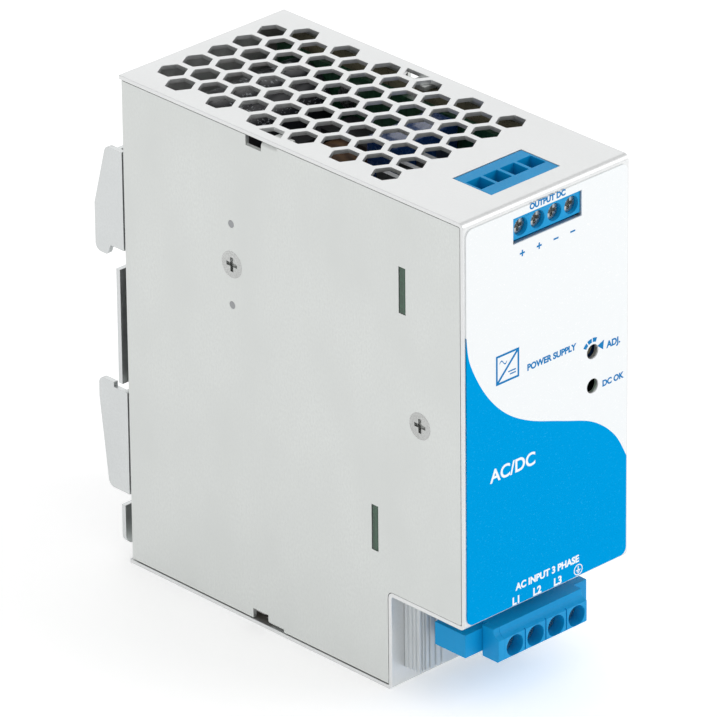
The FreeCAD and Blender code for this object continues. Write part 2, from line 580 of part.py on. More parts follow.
def make_boards():
    """The main board stands along the right panel; two small boards stand across it, each with a tab to the left."""
    right, left = "board_x", "sheet_t + 1 - case_w / 2"
    main = body("main_board")
    outline = sketch(main, "YZ", right)
    polygon(outline, [(deep(depth), z) for depth, z in
                      (("3", "29"), ("3", "116"), ("104", "116"), ("104", "5"), ("31", "5"), ("31", "29"))])
    for depth, z in BOARD_SCREWS:
        circle(outline, deep(depth), z, "shank_r + 0.1")
    pad(main, outline, "board_t")
    for name, depth, z, tab_z, pins in (
            ("output_board", "out_board_d", ("90", "case_z - 2.5"), "out_tab_z", "output_pins"),
            ("input_board", "in_board_d", ("5", "52"), "in_tab_z", "input_pins")):
        span = (depth, f"{depth} + board_t")
        plate = block((left, right), span, z)
        tab = block(("0.1 - case_w / 2", "5 - case_w / 2"), span,
                    (f"{tab_z} - slot_len / 2 + 0.15", f"{tab_z} + slot_len / 2 - 0.15"))
        keep(name, cut(fuse(plate, tab), NODES[pins]))
    film = block(("case_w / 2 - sheet_t - film_t", "case_w / 2 - sheet_t"), ("25", "105"), ("3", "118"))
    holes = [rod("X", ("case_w / 2 - 3", "case_w / 2"), depth, z, "2.8") for depth, z in BOARD_SCREWS]
    keep("insulation_sheet", cut(film, *holes))
    spacers, screws = [], []
    for depth, z in BOARD_SCREWS:
        post = rod("X", ("board_x + board_t", "case_w / 2 - sheet_t"), depth, z, "2.6")
        spacers.append(cut(post, rod("X", ("board_x", "case_w / 2 - 1.6"), depth, z, "shank_r + fit")))
        cap = rod("X", ("board_x - 1.8", "board_x"), depth, z, "2.6")
        stem = rod("X", ("board_x - 1", "board_x + board_t + 2"), depth, z, "shank_r")
        screws.append(cut(fuse(cap, stem), *cross_recess("X", "board_x - 1.8", depth, z, "1.5", "1")))
    keep("board_spacers", group(*spacers))
    keep("board_screws", group(*screws))


# ---------------------------------------------------------------- trimmer and lamp
def make_trimmer():
    base = block(("knob_x - 3.4", "board_x"), ("3.2", "8.4"), ("knob_z - 3.4", "knob_z + 3.4"))
    keep("trimmer_body", cut(base, rod("Y", "knob_x", ("3", "6.4"), "knob_z", "1.55 + fit")))
    knob = rod("Y", "knob_x", ("1.7", "6.3"), "knob_z", "1.55")
    keep("trimmer_rotor", cut(knob, *cross_recess("Y", "knob_x", "1.7", "knob_z", "1.2", "0.9")))


def make_lamp():
    """A 3 mm indicator lamp with its two wires bent over to the main board."""
    dome = doc.addObject("Part::Sphere", "Dome")
    bind(dome, Radius="1.5", Placement__Base__x="knob_x", Placement__Base__y=deep("3"), Placement__Base__z="lamp_z")
    stem = rod("Y", "knob_x", ("3", "6.4"), "lamp_z", "1.5")
    rim = rod("Y", "knob_x", ("6.2", "7.2"), "lamp_z", "1.9")
    legs = []
    for z in ("lamp_z - 1.27", "lamp_z + 1.27"):
        back = block(("knob_x - 0.25", "knob_x + 0.25"), ("7.2", "9.5"), (f"{z} - 0.25", f"{z} + 0.25"))
        across = block(("knob_x - 0.25", "board_x"), ("9", "9.5"), (f"{z} - 0.25", f"{z} + 0.25"))
        legs += [back, across]
    keep("status_lamp", fuse(dome, stem, rim, *legs))


# ---------------------------------------------------------------- power parts on the main board
def make_heatsinks():
    plate = block(("sheet_t - case_w / 2", "sheet_t + 3 - case_w / 2"), ("57", "84"), ("58", "112"))
    web = block(("sheet_t - case_w / 2", "board_x"), ("59", "84"), ("58", "61"))
    pegs = [rod("X", ("-case_w / 2", "sheet_t + 1 - case_w / 2"), "heat_screw_d", z, "peg_r")
            for z in ("heat_screw_z - peg_gap", "heat_screw_z + peg_gap")]
    hole = rod("X", ("-case_w / 2", "6 - case_w / 2"), "heat_screw_d", "heat_screw_z", "shank_r + fit")
    keep("primary_heatsink", fuse(cut(fuse(plate, web), hole), *pegs))
    spine = block(("3 - case_w / 2", "board_x"), ("31", "33.2"), ("66", "115"))
    fins = [block((f"{x}", f"{x} + 1.4"), ("33", "42"), ("66", "115")) for x in (-22, -16, -10, -4, 2, 8)]
    keep("secondary_heatsink", fuse(spine, *fins))


def make_semiconductors():
    """Flat power packages on the heat sinks, each with three legs to the main board."""
    switches = []
    for depth in (64.5, 77.5):
        case = block(("-2", "13"), (f"{depth} - 5", f"{depth} + 5"), ("61", "65.4"))
        legs = [block(("12", "board_x"), (f"{depth + k} - 0.4", f"{depth + k} + 0.4"), ("62.6", "63.2"))
                for k in (-2.54, 0, 2.54)]
        switches.append(fuse(case, *legs))
    keep("power_transistors", group(*switches))
    diodes = []
    for z in (84, 102):
        case = block(("-2", "13"), ("26.6", "31"), (f"{z} - 5", f"{z} + 5"))
        legs = [block(("12", "board_x"), ("28.4", "29"), (f"{z + k} - 0.4", f"{z + k} + 0.4"))
                for k in (-2.54, 0, 2.54)]
        diodes.append(fuse(case, *legs))
    keep("output_diodes", group(*diodes))
    bridge = block(("1", "15"), ("96", "100.6"), ("14", "38"))
    bridge_legs = [block(("14", "board_x"), ("98", "98.8"), (f"{z} - 0.5", f"{z} + 0.5")) for z in (17, 23, 29, 35)]
    keep("bridge_rectifier", fuse(bridge, *bridge_legs))
    chips = [soften(block(("board_x - 3.4", "board_x"), (f"{depth}", f"{depth} + 6.4"), (f"{z}", f"{z} + 9.4")), 0.3)
             for depth, z in ((47, 68), (62, 44), (72, 44), (10, 50))]
    keep("control_chips", group(*chips))


def make_transformer():
    """Ferrite frame round a taped winding on a bobbin, all about an axis along X."""
    depth, z = "72", "97"
    frame = cut(block(("-18.5", "16"), ("58.5", "85.5"), ("90.5", "103.5")),
                block(("-13.5", "11"), ("63", "81"), ("89", "105")))
    limb = rod("X", ("-14", "11.5"), depth, z, "4.6")
    keep("transformer_core", fuse(frame, limb))
    spool = fuse(rod("X", ("-13.3", "10.8"), depth, z, "6"), rod("X", ("-13.3", "-12"), depth, z, "8.8"),
                 rod("X", ("9.5", "10.8"), depth, z, "8.8"),
                 block(("9.5", "board_x"), ("64", "80"), ("103.7", "106")),
                 block(("9.5", "board_x"), ("64", "80"), ("88", "90.3")))
    keep("transformer_bobbin", cut(spool, rod("X", ("-14", "12"), depth, z, "4.8")))
    keep("transformer_winding", cut(rod("X", ("-12", "9.5"), depth, z, "8.5"), rod("X", ("-13", "10"), depth, z, "6")))


def make_capacitors():
    """Round cans standing on the main board with a vent dimple, box film types and two small suppressors."""
    for k, z in enumerate((106, 87, 68), 1):
        can = soften(rod("X", ("-17", "board_x"), "94.8", f"{z}", "9"), 0.7)
        keep(f"bulk_capacitor_{k}", cut(can, rod("X", ("-18", "-16.6"), "94.8", f"{z}", "6.8")))
    cans = [soften(rod("X", ("-2", "board_x"), "25.2", f"{z}", "4.8"), 0.4) for z in (58, 69)]
    keep("output_capacitors", group(*cans))
    films = [soften(block(("-1", "board_x"), ("46", "55"), (f"{z}", f"{z} + 15")), 1.0) for z in (84, 101)]
    keep("film_capacitors", group(*films))
    boxes = [soften(block(("1", "board_x"), (f"{depth}", f"{depth} + 8"), ("12", "34")), 0.6) for depth in (78, 87)]
    keep("suppression_capacitors", group(*boxes))


def make_ring_coil(name, depth, z, ring_r, core_r, wire_r, gaps):
    """A ring core flat on the main board, with one loop of wire at every angle that gaps leaves free."""
    x = f"board_x - {core_r + 2 * wire_r + 0.4}"
    core = doc.addObject("Part::Torus", "Ring")
    core.Placement = FreeCAD.Placement(FreeCAD.Vector(), TURN["X"])
    bind(core, Radius1=f"{ring_r}", Radius2=f"{core_r}", Placement__Base__x=x, Placement__Base__y=deep(depth),
         Placement__Base__z=z)
    keep(name + "_core", core)
    loops = []
    for angle in range(0, 360, 20):
        if angle in gaps:
            continue
        loop = doc.addObject("Part::Torus", "Loop")
        loop.Placement = FreeCAD.Placement(FreeCAD.Vector(), FreeCAD.Rotation(FreeCAD.Vector(1, 0, 0), angle))
        bind(loop, Radius1=f"{core_r + wire_r + 0.05}", Radius2=f"{wire_r}", Placement__Base__x=x,
             Placement__Base__y=f"{deep(depth)} + {ring_r * math.cos(math.radians(angle))}",
             Placement__Base__z=f"{z} + {ring_r * math.sin(math.radians(angle))}")
        loops.append(loop)
    keep(name + "_winding", group(*loops))


def make_input_guards():
    """Fuses and surge absorbers on the back of the input board."""
    board = "in_board_d + board_t"
    links = [soften(rod("Y", f"{x}", (board, f"{board} + 8.5"), "43", "4.1"), 0.4) for x in (-14, -4, 6)]
    keep("fuses", group(*links))
    discs = []
    for x in (-14, -4, 6):
        disc = rod("X", (f"{x} - 2", f"{x} + 2"), f"{board} + 7.4", "30", "5.6")
        legs = [block((f"{x} - 0.3", f"{x} + 0.3"), (board, f"{board} + 4"), (f"{z} - 0.3", f"{z} + 0.3"))
                for z in (27.5, 32.5)]
        discs.append(fuse(disc, *legs))
    keep("varistors", group(*discs))


# ---------------------------------------------------------------- the whole supply
make_cover()
left_seats = make_housing_screws()
back_holes = make_bracket()
make_chassis(fuse(left_seats, *back_holes))
make_label()
make_latch()
make_spring()
make_output_terminal()
make_input_terminal()
make_shroud()
make_boards()
make_trimmer()
make_lamp()
make_heatsinks()
make_semiconductors()
make_transformer()
make_capacitors()
make_ring_coil("choke", "60", "24", 9.5, 3.4, 0.7, (80, 100, 260, 280))
make_ring_coil("inductor", "46.5", "53", 7.5, 3.0, 0.7, (180,))
make_input_guards()
doc.recompute()

for thing in doc.Objects:
    if {"Invalid", "Error"} & set(thing.State):
        raise ValueError(f"{thing.Label} ({thing.Name}) failed: {thing.State}")
for name, thing in NODES.items():
    if thing.Shape.isNull() or not thing.Shape.isValid() or not thing.Shape.Solids:
        raise ValueError(f"{name} has no valid solid")

os.makedirs("parts", exist_ok=True)
for name, thing in NODES.items():
    thing.Shape.exportStep(f"parts/{name}.step")
    print(f"{name}: {len(thing.Shape.Solids)} solid(s), {thing.Shape.Volume:.1f} mm3")
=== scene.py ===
"""Looks of the DIN rail power supply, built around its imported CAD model. Metres, +Z up, front towards -Y."""
import json
import math

import bpy
from mathutils import Matrix, Vector


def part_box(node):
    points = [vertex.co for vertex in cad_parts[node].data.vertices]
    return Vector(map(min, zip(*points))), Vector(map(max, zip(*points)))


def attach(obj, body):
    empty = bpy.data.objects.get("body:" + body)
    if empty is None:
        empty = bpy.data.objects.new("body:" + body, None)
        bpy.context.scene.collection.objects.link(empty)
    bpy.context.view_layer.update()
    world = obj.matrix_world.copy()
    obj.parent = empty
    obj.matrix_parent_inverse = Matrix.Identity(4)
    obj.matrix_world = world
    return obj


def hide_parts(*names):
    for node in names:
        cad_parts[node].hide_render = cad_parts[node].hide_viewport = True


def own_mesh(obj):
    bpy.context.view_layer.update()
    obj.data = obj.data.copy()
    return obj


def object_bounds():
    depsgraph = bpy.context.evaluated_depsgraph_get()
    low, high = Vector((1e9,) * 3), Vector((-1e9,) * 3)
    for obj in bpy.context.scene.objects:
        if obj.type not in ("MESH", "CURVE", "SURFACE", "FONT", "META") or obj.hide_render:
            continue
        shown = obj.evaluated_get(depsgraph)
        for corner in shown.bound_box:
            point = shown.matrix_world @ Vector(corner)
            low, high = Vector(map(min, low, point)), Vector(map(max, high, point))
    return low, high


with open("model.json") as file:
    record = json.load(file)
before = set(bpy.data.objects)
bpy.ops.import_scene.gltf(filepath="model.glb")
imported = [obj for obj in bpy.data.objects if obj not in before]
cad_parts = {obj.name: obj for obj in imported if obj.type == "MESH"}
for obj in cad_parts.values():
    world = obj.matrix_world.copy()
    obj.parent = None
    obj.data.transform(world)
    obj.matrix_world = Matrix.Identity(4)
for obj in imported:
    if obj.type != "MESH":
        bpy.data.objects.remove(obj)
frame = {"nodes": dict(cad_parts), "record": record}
cad_low, cad_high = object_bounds()
NODES = frame["nodes"]
SLOT_OF = {row["node"]: row["material_slot"] for row in frame["record"]["subparts"]}
MM = 0.001


# ---------------------------------------------------------------- node materials
class Shader:
    """A Principled material whose inputs are fed by noise in object space."""

    def __init__(self, name, **sockets):
        self.material = bpy.data.materials.new(name)
        self.material.use_nodes = True
        self.tree = self.material.node_tree
        self.principled = self.tree.nodes["Principled BSDF"]
        self.place = self.tree.nodes.new("ShaderNodeTexCoord").outputs["Object"]
        for socket, value in sockets.items():
            self.principled.inputs[socket.replace("_", " ")].default_value = value

    def link(self, source, target):
        self.tree.links.new(source, target)

    def noise(self, size, stretch=(1, 1, 1), detail=3.0):
        """Noise whose blotches are about size metres across, stretched along the axes."""
        mapping = self.tree.nodes.new("ShaderNodeMapping")
        mapping.inputs["Scale"].default_value = [1 / (size * along) for along in stretch]
        texture = self.tree.nodes.new("ShaderNodeTexNoise")
        texture.inputs["Scale"].default_value = 1.0
        texture.inputs["Detail"].default_value = detail
        self.link(self.place, mapping.inputs["Vector"])
        self.link(mapping.outputs["Vector"], texture.inputs["Vector"])
        return texture.outputs["Fac"]

    def remap(self, source, low, high, start=0.3, end=0.7):
        """source from start..end to low..high, clamped."""
        node = self.tree.nodes.new("ShaderNodeMapRange")
        for socket, value in (("From Min", start), ("From Max", end), ("To Min", low), ("To Max", high)):
            node.inputs[socket].default_value = value
        self.link(source, node.inputs["Value"])
        return node.outputs["Result"]

    def blend(self, source, first, second):
        """A colour between first and second; either may be a colour or a socket."""
        node = self.tree.nodes.new("ShaderNodeMix")
        node.data_type = "RGBA"
        self.link(source, node.inputs["Factor"])
        for socket, value in (("A", first), ("B", second)):
            target = next(i for i in node.inputs if i.name == socket and i.type == "RGBA")
            if isinstance(value, tuple):
                target.default_value = (*value, 1)
            else:
                self.link(value, target)
        return next(o for o in node.outputs if o.type == "RGBA")

    def colour(self, source):
        self.link(source, self.principled.inputs["Base Color"])

    def rough(self, source):
        self.link(source, self.principled.inputs["Roughness"])

    def bump(self, source, height, strength=1.0):
        """Relief height metres high, added over any earlier relief."""
        node = self.tree.nodes.new("ShaderNodeBump")
        node.inputs["Distance"].default_value = height
        node.inputs["Strength"].default_value = strength
        target = self.principled.inputs["Normal"]
        if target.is_linked:
            self.link(target.links[0].from_socket, node.inputs["Normal"])
        self.link(source, node.inputs["Height"])
        self.link(node.outputs["Normal"], target)


def shade(colour, factor):
    """The colour, darker or lighter by a factor."""
    return tuple(min(1.0, c * factor) for c in colour)


def sheet_metal(name, colour, rough, mottle, grain=0.5 * MM, metallic=0.85, stretch=(1, 1, 1)):
    """Rolled or plated sheet: soft cloudy patches, fine grain and a slightly uneven gloss."""
    made = Shader(name, Metallic=metallic)
    cloud = made.remap(made.noise(14 * MM, stretch), 0, 1)
    fine = made.noise(grain, stretch, detail=4)
    patch = made.blend(cloud, shade(colour, 1 - mottle / 2), shade(colour, 1 + mottle / 2))
    made.colour(made.blend(made.remap(fine, 0, 1), shade(colour, 1 - mottle), patch))
    made.rough(made.remap(fine, rough - 0.07, rough + 0.07))
    made.bump(fine, 0.008 * MM)
    return made.material


def moulded(name, colour, rough=0.42, mottle=0.06, grain=0.35 * MM, height=0.01 * MM, **sockets):
    """Moulded plastic: faint flow marks under a fine spark-eroded grain."""
    made = Shader(name, **sockets)
    flow = made.remap(made.noise(6 * MM, (1, 1, 3)), 0, 1)
    fine = made.noise(grain, detail=4)
    made.colour(made.blend(flow, shade(colour, 1 - mottle), shade(colour, 1 + mottle)))
    made.rough(made.remap(fine, rough - 0.06, rough + 0.08))
    made.bump(fine, height)
    return made.material


def speckled(name, colour, spot, rough, **sockets):
    """Printed film or glaze with sparse fine spots."""
    made = Shader(name, **sockets)
    fine = made.noise(0.4 * MM, detail=2)
    made.colour(made.blend(made.remap(fine, 0, 1, 0.62, 0.7), colour, spot))
    made.rough(made.remap(made.noise(3 * MM), rough - 0.05, rough + 0.05))
    made.bump(made.noise(0.8 * MM), 0.004 * MM)
    return made.material


def striped(name, dark, light, width, axis, rough=0.45, metallic=0.0, **sockets):
    """Bands across one axis: turns of tape, wire or laminate."""
    made = Shader(name, Metallic=metallic, **sockets)
    wave = made.tree.nodes.new("ShaderNodeTexWave")
    wave.bands_direction = axis
    wave.inputs["Scale"].default_value = math.tau / (20 * width)
    wave.inputs["Distortion"].default_value = 0.6
    made.link(made.place, wave.inputs["Vector"])
    bands = wave.outputs["Fac"]
    made.colour(made.blend(bands, dark, light))
    made.rough(made.remap(made.noise(2 * MM), rough - 0.08, rough + 0.08))
    made.bump(bands, 0.05 * MM)
    return made.material


def board_material(name):
    """Green solder mask over a regular grid of raised tracks."""
    made = Shader(name, Coat_Weight=0.4, Coat_Roughness=0.2)
    cells = made.tree.nodes.new("ShaderNodeTexBrick")
    cells.inputs["Scale"].default_value = 160
    cells.inputs["Mortar Size"].default_value = 0.06
    turn = made.tree.nodes.new("ShaderNodeMapping")
    turn.inputs["Rotation"].default_value = (0, math.radians(90), 0)
    made.link(made.place, turn.inputs["Vector"])
    made.link(turn.outputs["Vector"], cells.inputs["Vector"])
    tracks = made.blend(cells.outputs["Fac"], (0.006, 0.045, 0.02), (0.014, 0.08, 0.035))
    made.colour(made.blend(made.remap(made.noise(0.5 * MM), 0, 1), tracks, (0.008, 0.055, 0.024)))
    made.rough(made.remap(made.noise(2 * MM), 0.28, 0.42))
    made.bump(cells.outputs["Fac"], 0.03 * MM)
    return made.material


def sleeve_material(name):
    """Dark shrink sleeve with clusters of small light print ticks that form no letters."""
    made = Shader(name, Coat_Weight=0.5, Coat_Roughness=0.15)
    ticks = made.noise(0.7 * MM, (1, 2.5, 0.6), detail=1)
    rows = made.noise(5 * MM, (4, 1, 1), detail=0)
    both = made.tree.nodes.new("ShaderNodeMath")
    both.operation = "MULTIPLY"
    made.link(made.remap(ticks, 0, 1, 0.6, 0.66), both.inputs[0])
    made.link(made.remap(rows, 0, 1, 0.52, 0.56), both.inputs[1])
    made.colour(made.blend(both.outputs["Value"], (0.012, 0.013, 0.018), (0.30, 0.32, 0.34)))
    made.rough(made.remap(made.noise(3 * MM), 0.25, 0.4))
    made.bump(made.noise(6 * MM), 0.03 * MM)
    return made.material


MATERIALS = {
    "cover_metal": sheet_metal("cover_metal", (0.77, 0.78, 0.78), 0.42, 0.05, stretch=(1, 2, 1)),
    # panel_metal is a little darker than cover_metal: the darker tone is painted shade for the side panels,
    # which face away from the lights.
    "panel_metal": sheet_metal("panel_metal", (0.71, 0.73, 0.715), 0.5, 0.08, stretch=(1, 1, 1.6)),
    "screw_zinc": sheet_metal("screw_zinc", (0.54, 0.55, 0.54), 0.28, 0.25, 0.3 * MM, metallic=1.0),
    "clip_metal": sheet_metal("clip_metal", (0.66, 0.68, 0.68), 0.36, 0.08, metallic=0.95, stretch=(2, 1, 1)),
    "spring_wire": sheet_metal("spring_wire", (0.45, 0.46, 0.47), 0.25, 0.15, 0.2 * MM, metallic=1.0),
    "terminal_blue": moulded("terminal_blue", (0.0, 0.29, 0.62), Specular_IOR_Level=0.2),
    "cage_metal": sheet_metal("cage_metal", (0.70, 0.68, 0.58), 0.3, 0.12, 0.3 * MM, metallic=1.0),
    "pin_metal": sheet_metal("pin_metal", (0.74, 0.73, 0.68), 0.3, 0.12, 0.3 * MM, metallic=1.0),
    "shroud_white": moulded("shroud_white", (0.76, 0.80, 0.82), 0.35, 0.08, Transmission_Weight=0.25),
    "film_clear": moulded("film_clear", (0.34, 0.31, 0.21), 0.3, 0.08, Transmission_Weight=0.2),
    "board_green": board_material("board_green"),
    "heatsink_metal": sheet_metal("heatsink_metal", (0.34, 0.35, 0.36), 0.38, 0.12, metallic=1.0,
                                  stretch=(1, 1, 8)),
    "ferrite_dark": moulded("ferrite_dark", (0.035, 0.036, 0.04), 0.6, 0.3, 0.5 * MM, 0.03 * MM),
    "bobbin_black": moulded("bobbin_black", (0.02, 0.02, 0.022), 0.4, 0.2),
    "tape_brown": striped("tape_brown", (0.07, 0.03, 0.01), (0.15, 0.075, 0.025), 3 * MM, "X"),
    "copper_wire": striped("copper_wire", (0.42, 0.14, 0.05), (0.72, 0.32, 0.14), 0.5 * MM, "Z", 0.3, 0.9),
    "sleeve_dark": sleeve_material("sleeve_dark"),
    "film_blue": moulded("film_blue", (0.01, 0.045, 0.16), 0.25, 0.15, 1.2 * MM, 0.05 * MM, Coat_Weight=0.5),
    "box_yellow": moulded("box_yellow", (0.36, 0.23, 0.03), 0.4, 0.08),
    "package_black": moulded("package_black", (0.018, 0.018, 0.02), 0.5, 0.25, 0.25 * MM, 0.02 * MM),
    "fuse_ceramic": speckled("fuse_ceramic", (0.74, 0.71, 0.62), (0.55, 0.5, 0.42), 0.25),
    "varistor_blue": moulded("varistor_blue", (0.03, 0.14, 0.40), 0.3, 0.15, 1.5 * MM, 0.06 * MM,
                             Coat_Weight=0.4),
    "trimmer_blue": moulded("trimmer_blue", (0.03, 0.13, 0.42), 0.35),
    "trimmer_cream": moulded("trimmer_cream", (0.20, 0.19, 0.14), 0.4),
    "lamp_green": moulded("lamp_green", (0.25, 0.55, 0.25), 0.12, 0.05, Transmission_Weight=0.5),
    "label_film": speckled("label_film", (0.83, 0.855, 0.865), (0.90, 0.91, 0.92), 0.42),
}
PRINT_BLUE = speckled("print_blue", (0.0, 0.315, 0.70), (0.01, 0.36, 0.75), 0.5, Specular_IOR_Level=0.0)
INK_BLUE = speckled("ink_blue", (0.0, 0.19, 0.48), (0.01, 0.24, 0.55), 0.5, Specular_IOR_Level=0.1)
INK_WHITE = speckled("ink_white", (0.88, 0.90, 0.92), (0.8, 0.84, 0.88), 0.4)


# ---------------------------------------------------------------- carried-over CAD nodes
EDGE = {
    "cover": 0.1, "chassis": 0.1, "din_bracket": 0.15, "din_latch": 0.15, "housing_screws": 0.08,
    "din_bracket_screws": 0.08, "output_terminal_body": 0.1, "input_terminal_body": 0.12,
    "input_end_plate": 0.12, "terminal_shroud": 0.15,
}


def soften_edges(thing, width):
    """Merges the split corners, then rounds every sharp edge by width and evens the shading."""
    if "custom_normal" in thing.data.attributes:
        thing.data.attributes.remove(thing.data.attributes["custom_normal"])
    thing.data.polygons.foreach_set("use_smooth", [True] * len(thing.data.polygons))
    weld = thing.modifiers.new("Weld", "WELD")
    weld.merge_threshold = 1e-6
    bevel = thing.modifiers.new("Edges", "BEVEL")
    bevel.width = width
    bevel.segments = 2
    bevel.limit_method = "ANGLE"
    bevel.angle_limit = math.radians(30)
    bevel.use_clamp_overlap = True
    thing.modifiers.new("Shading", "WEIGHTED_NORMAL").keep_sharp = True


for name, thing in NODES.items():
    for slot in thing.material_slots:
        slot.material = MATERIALS[SLOT_OF[name]]
    if name in EDGE:
        soften_edges(thing, EDGE[name] * MM)


# ---------------------------------------------------------------- pieces
def add(name, data, body="case", slot=None, material=None, replaces=()):
    """Makes a piece of the visual model that rides on a body of the frame."""
    thing = bpy.data.objects.new(name, data)
    bpy.context.scene.collection.objects.link(thing)
    if material:
        data.materials.append(material)
    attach(thing, body)
    if replaces:
        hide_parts(*replaces)
    return thing


label_low, label_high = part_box("front_label")
LABEL_FRONT = label_low.y
LABEL_THICK = label_high.y - label_low.y


def flat_piece(name, outlines, thickness, front, material, **facts):
    """A flat piece seen from the front, filled between its closed outlines of (x, z) points in mm."""
    curve = bpy.data.curves.new(name, "CURVE")
    curve.dimensions = "2D"
    curve.fill_mode = "BOTH"
    curve.extrude = thickness / 2
    for outline in outlines:
        spline = curve.splines.new("POLY")
        spline.points.add(len(outline) - 1)
        for point, (x, z) in zip(spline.points, outline):
            point.co = (x * MM, z * MM, 0, 1)
        spline.use_cyclic_u = True
    thing = add(name, curve, material=material, **facts)
    thing.matrix_world = (Matrix.Translation((0, front + thickness / 2, 0))
                          @ Matrix.Rotation(math.pi / 2, 4, "X"))
    return thing


def arc(x, z, radius, start, end, steps=12):
    """Points of an arc in degrees, anticlockwise when end is over start."""
    angles = [math.radians(start + (end - start) * k / steps) for k in range(steps + 1)]
    return [(x + radius * math.cos(a), z + radius * math.sin(a)) for a in angles]


def through(anchors, steps=10):
    """A smooth Catmull-Rom line through the anchors."""
    line = []
    ends = [anchors[0], *anchors, anchors[-1]]
    for before, start, end, after in zip(ends, ends[1:], ends[2:], ends[3:]):
        for k in range(steps):
            share = k / steps
            line.append(tuple(0.5 * (2 * b + (c - a) * share + (2 * a - 5 * b + 4 * c - d) * share ** 2
                                     + (3 * b - a - 3 * c + d) * share ** 3)
                              for a, b, c, d in zip(before, start, end, after)))
    return line + [anchors[-1]]


HALF = label_high.x / MM
TOP = label_high.z / MM
BOTTOM = label_low.z / MM
CORNER = 1.8
WINDOW = [(-10.35, 111.4), (10.35, 111.4), (10.35, 117.5), (-10.35, 117.5)]
KNOB_X, KNOB_Z, LAMP_Z = 13.8, 77.6, 69.3
PEEP = 1.75
SWOOSH = through([(-HALF, 94), (-23.3, 87.5), (-18.9, 79), (-13, 72.4), (-5.7, 67.9), (4.3, 64.2), (14, 60.5),
                  (20.6, 55.1), (HALF, 48.6)])

white_outline = (SWOOSH[::-1] + arc(-HALF + CORNER, TOP - CORNER, CORNER, 180, 90)
                 + arc(HALF - CORNER, TOP - CORNER, CORNER, 90, 0))
blue_outline = (SWOOSH + arc(HALF - CORNER, BOTTOM + CORNER, CORNER, 0, -90)
                + arc(-HALF + CORNER, BOTTOM + CORNER, CORNER, -90, -180))
holes = [arc(KNOB_X, z, PEEP, 0, 350, 35) for z in (KNOB_Z, LAMP_Z)]
flat_piece("label_white", [white_outline, WINDOW, *holes], LABEL_THICK, LABEL_FRONT, MATERIALS["label_film"],
           slot="label_film", replaces=["front_label"])
flat_piece("label_blue", [blue_outline], LABEL_THICK, LABEL_FRONT, PRINT_BLUE, slot="label_film")

INK = 0.02 * MM


def words(name, text, x, z, size, ink):
    """Generic lettering in mm, centred on x, its baseline at z."""
    font = bpy.data.curves.new(name, "FONT")
    font.body = text
    font.size = size * MM
    font.offset = 0.09 * MM
    font.align_x = "CENTER"
    font.extrude = INK / 2
    thing = add(name, font, material=ink, slot="label_film")
    thing.matrix_world = (Matrix.Translation((x * MM, LABEL_FRONT - INK / 2, z * MM))
                          @ Matrix.Rotation(math.pi / 2, 4, "X"))
    return thing


def bar(x0, z0, x1, z1, width):
    """Outline of a straight stroke."""
    along = Vector((x1 - x0, z1 - z0)).normalized() * width / 2
    side = Vector((-along.y, along.x))
    return [(x0 + side.x, z0 + side.y), (x0 - side.x, z0 - side.y), (x1 - side.x, z1 - side.y),
            (x1 + side.x, z1 + side.y)]


def print_on(name, outlines, ink):
    """A printed mark that lies on the front of the label."""
    return flat_piece(name, outlines, INK, LABEL_FRONT - INK, ink, slot="label_film")


POLES = (-7.62, -2.54, 2.54, 7.62)
for k, x in enumerate(POLES):
    strokes = [bar(x - 0.75, 108.6, x + 0.75, 108.6, 0.4)]
    if k < 2:
        strokes += [bar(x, 107.85, x, 108.4, 0.4), bar(x, 108.8, x, 109.35, 0.4)]
    print_on(f"mark_pole_{k + 1}", strokes, INK_BLUE)
words("mark_output", "OUTPUT DC", 0, 118.05, 1.9, INK_BLUE)
words("mark_adjust", "ADJ.", 20.2, KNOB_Z - 0.6, 2.2, INK_BLUE)
words("mark_lamp", "DC OK", 20.0, LAMP_Z - 1.2, 2.0, INK_BLUE)
words("mark_input", "AC INPUT 3 PHASE", 0, 27.9, 2.3, INK_WHITE)
words("mark_kind", "AC/DC", -10.5, 56.8, 4.4, INK_WHITE)
words("mark_type", "POWER SUPPLY", 1.2, 80.0, 2.1, INK_BLUE)
for k, x in enumerate((-9.53, -3.18, 3.18)):
    words(f"mark_phase_{k + 1}", f"L{k + 1}", x, 24.6, 2.6, INK_WHITE)
earth = [bar(9.5, 25.9, 9.5, 26.8, 0.25)] + [bar(9.5 - w, z, 9.5 + w, z, 0.22)
                                             for w, z in ((0.7, 25.8), (0.45, 25.45), (0.2, 25.1))]
print_on("mark_earth", earth, INK_WHITE)
ring = [arc(9.5, 25.9, 1.35, 0, 350, 35), arc(9.5, 25.9, 1.12, 0, 350, 35)]
print_on("mark_earth_ring", ring, INK_WHITE)

# a square converter symbol: sine on one side of the diagonal, direct-current bars on the other
BOX_X, BOX_Z, BOX = -15.6, 79.6, 7.0
RIM, SKEW = 0.5, 0.9
right, top = BOX_X + BOX, BOX_Z + BOX
frame_lines = [[(BOX_X, BOX_Z), (right, BOX_Z), (right, top), (BOX_X, top)],
               [(BOX_X + RIM, BOX_Z + SKEW), (right - SKEW, top - RIM), (BOX_X + RIM, top - RIM)],
               [(BOX_X + SKEW, BOX_Z + RIM), (right - RIM, BOX_Z + RIM), (right - RIM, top - SKEW)]]
print_on("mark_symbol", frame_lines, INK_BLUE)
wave_top = [(BOX_X + 1.1 + 2.2 * k / 16, BOX_Z + 5.1 + 0.5 * math.sin(math.tau * k / 16)) for k in range(17)]
print_on("mark_symbol_wave", [wave_top + [(x, z - 0.3) for x, z in reversed(wave_top)]], INK_BLUE)
print_on("mark_symbol_bars", [bar(BOX_X + 3.7, BOX_Z + 2.2, BOX_X + 6.0, BOX_Z + 2.2, 0.3),
                              bar(BOX_X + 4.2, BOX_Z + 1.5, BOX_X + 6.0, BOX_Z + 1.5, 0.3)], INK_BLUE)

